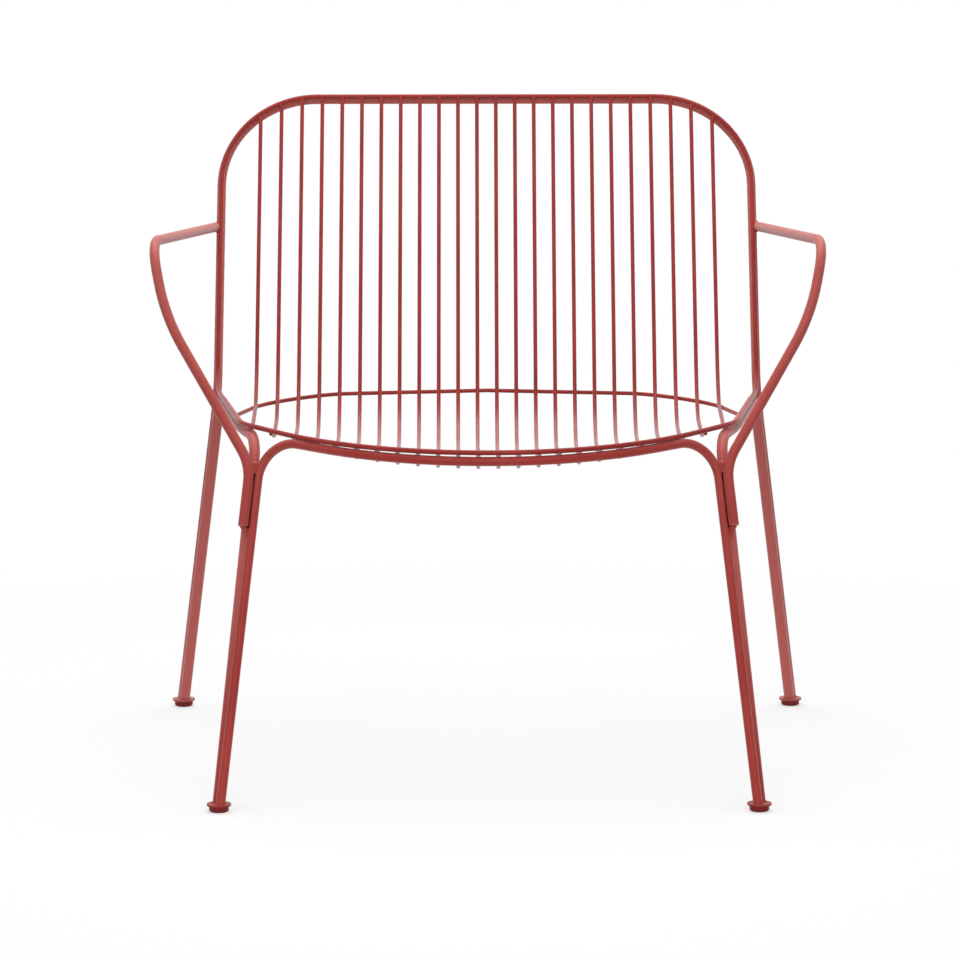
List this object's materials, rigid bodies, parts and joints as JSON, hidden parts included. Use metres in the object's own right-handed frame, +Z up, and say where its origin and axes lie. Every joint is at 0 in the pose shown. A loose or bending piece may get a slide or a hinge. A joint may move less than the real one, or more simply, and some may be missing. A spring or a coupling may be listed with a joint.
{
  "type": "welded wire lounge armchair",
  "caption": "Low garden armchair of bent round steel bar, with a dished seat and reclined back of bent wires, bar arms and flanged feet.",
  "frame": {"origin": "on the floor, under the middle of the chair's box", "axes": "+X to the right of someone looking at the front of the chair, +Y to the rear, +Z up"},
  "size_m": [0.7366, 0.6709, 0.7078],
  "materials": {
    "powder_coat": "satin terracotta powder coat",
    "glide": "dark moulded plastic"
  },
  "bodies": {
    "root": {"back_frame": "powder_coat", "front_frame": "powder_coat", "left_side_frame": "powder_coat", "right_side_frame": "powder_coat", "left_arm": "powder_coat", "right_arm": "powder_coat", "shell_ring": "powder_coat", "rear_cross_wire": "powder_coat", "wire_01": "powder_coat", "wire_02": "powder_coat", "wire_03": "powder_coat", "wire_04": "powder_coat", "wire_05": "powder_coat", "wire_06": "powder_coat", "wire_07": "powder_coat", "wire_08": "powder_coat", "wire_09": "powder_coat", "wire_10": "powder_coat", "wire_11": "powder_coat", "wire_12": "powder_coat", "wire_13": "powder_coat", "wire_14": "powder_coat", "wire_15": "powder_coat", "wire_16": "powder_coat", "wire_17": "powder_coat", "wire_18": "powder_coat", "wire_19": "powder_coat", "wire_20": "powder_coat", "wire_21": "powder_coat", "wire_22": "powder_coat", "wire_23": "powder_coat", "wire_24": "powder_coat", "front_left_foot_cap": "powder_coat", "front_right_foot_cap": "powder_coat", "rear_left_foot_cap": "powder_coat", "rear_right_foot_cap": "powder_coat", "front_left_glide": "glide", "front_right_glide": "glide", "rear_left_glide": "glide", "rear_right_glide": "glide"}
  },
  "joints": []
}
